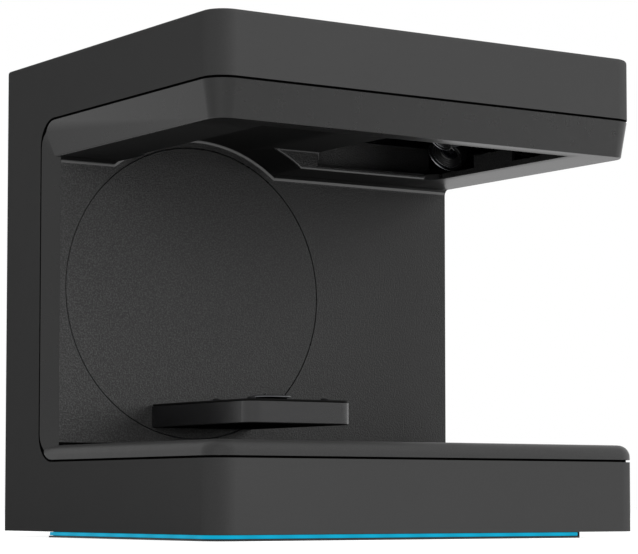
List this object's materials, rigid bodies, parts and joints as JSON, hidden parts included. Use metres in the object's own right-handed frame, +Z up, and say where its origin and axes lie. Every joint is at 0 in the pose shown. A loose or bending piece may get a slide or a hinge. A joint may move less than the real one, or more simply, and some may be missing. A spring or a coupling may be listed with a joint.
{
  "type": "desktop 3d scanner",
  "caption": "Open C-shaped desktop 3D scanner: a swinging arm with a turntable in front of a round disc, and optics looking down from the ceiling.",
  "frame": {"origin": "middle of the footprint, on the desk under the rubber feet", "axes": "+X to the right along the front, +Y from the front to the back, +Z up"},
  "size_m": [0.42, 0.346, 0.405],
  "materials": {
    "shell_plastic": "dark grey satin paint on moulded plastic, fine texture",
    "liner_plastic": "dark grey moulded plastic, fine grain",
    "arm_paint": "dark grey satin anodised",
    "black_plastic": "black satin",
    "rubber": "black matt rubber",
    "cyan_diffuser": "cyan light diffuser, smooth",
    "steel": "fine turned steel",
    "sheet_steel": "dark grey coated sheet steel",
    "motor_steel": "black coated steel",
    "aluminium": "machined",
    "lens_black": "black anodised, satin",
    "lens_glass": "coated glass",
    "circuit_board": "green solder mask",
    "belt_rubber": "black belt rubber",
    "brass": "turned"
  },
  "bodies": {
    "housing": {"outer_shell": "shell_plastic", "inner_liner": "liner_plastic", "base_plate": "sheet_steel", "foot_1": "rubber", "foot_2": "rubber", "foot_3": "rubber", "foot_4": "rubber", "light_strip": "cyan_diffuser", "strip_light_board": "circuit_board", "strip_channel": "black_plastic", "rear_panel": "sheet_steel", "panel_screw_1": "steel", "panel_screw_2": "steel", "panel_screw_3": "steel", "panel_screw_4": "steel", "power_inlet": "black_plastic", "data_socket": "steel", "switch_bezel": "black_plastic", "fan_frame": "black_plastic", "chassis_plate": "sheet_steel", "swing_bearing": "aluminium", "swing_motor": "motor_steel", "swing_belt": "belt_rubber", "home_sensor": "black_plastic", "optics_bench": "aluminium", "camera_front_lens": "lens_black", "camera_front_glass": "lens_glass", "camera_front_body": "black_plastic", "camera_rear_lens": "lens_black", "camera_rear_glass": "lens_glass", "camera_rear_body": "black_plastic", "projector_lens": "lens_black", "projector_glass": "lens_glass", "projector_body": "black_plastic", "power_supply": "aluminium", "main_board": "circuit_board"},
    "arm": {"swing_disc": "liner_plastic", "swing_shaft": "steel", "swing_pulley": "aluminium", "arm_tray": "arm_paint", "arm_cover": "black_plastic", "arm_pad_1": "rubber", "arm_pad_2": "rubber", "arm_pad_3": "rubber", "arm_pad_4": "rubber", "table_bush": "brass", "table_motor": "motor_steel", "table_belt": "belt_rubber"},
    "table": {"turntable": "steel", "locating_pin_1": "brass", "locating_pin_2": "brass", "locating_pin_3": "brass", "table_spindle": "steel", "table_pulley": "aluminium"},
    "swing_drive": {"swing_motor_pulley": "aluminium"},
    "table_drive": {"table_motor_pulley": "aluminium"},
    "fan": {"fan_rotor": "black_plastic"},
    "rocker": {"switch_rocker": "black_plastic"}
  },
  "joints": [
    {"name": "swing", "type": "hinge", "parent": "housing", "child": "arm", "pos_m": [-0.0694, 0.0894, 0.2113], "axis": [0, 1, 0], "range_deg": [-170, 170]},
    {"name": "swing_motor_spin", "type": "hinge", "parent": "housing", "child": "swing_drive", "pos_m": [0.0356, 0.139, 0.2113], "axis": [0, 1, 0], "range_deg": [-850, 850]},
    {"name": "table_turn", "type": "hinge", "parent": "arm", "child": "table", "pos_m": [-0.063, -0.0227, 0.1181], "axis": [0, 0, 1], "continuous": true},
    {"name": "table_motor_spin", "type": "hinge", "parent": "arm", "child": "table_drive", "pos_m": [-0.063, 0.0453, 0.109], "axis": [0, 0, 1], "continuous": true},
    {"name": "fan_spin", "type": "hinge", "parent": "housing", "child": "fan", "pos_m": [0.132, 0.159, 0.292], "axis": [0, 1, 0], "continuous": true},
    {"name": "power_switch", "type": "hinge", "parent": "housing", "child": "rocker", "pos_m": [-0.112, 0.1658, 0.034], "axis": [0, 0, 1], "range_deg": [-18, 0]}
  ],
  "couplings": [
    {"joint": "swing_motor_spin", "follows": "swing", "ratio": 5},
    {"joint": "table_motor_spin", "follows": "table_turn", "ratio": 2.5}
  ]
}
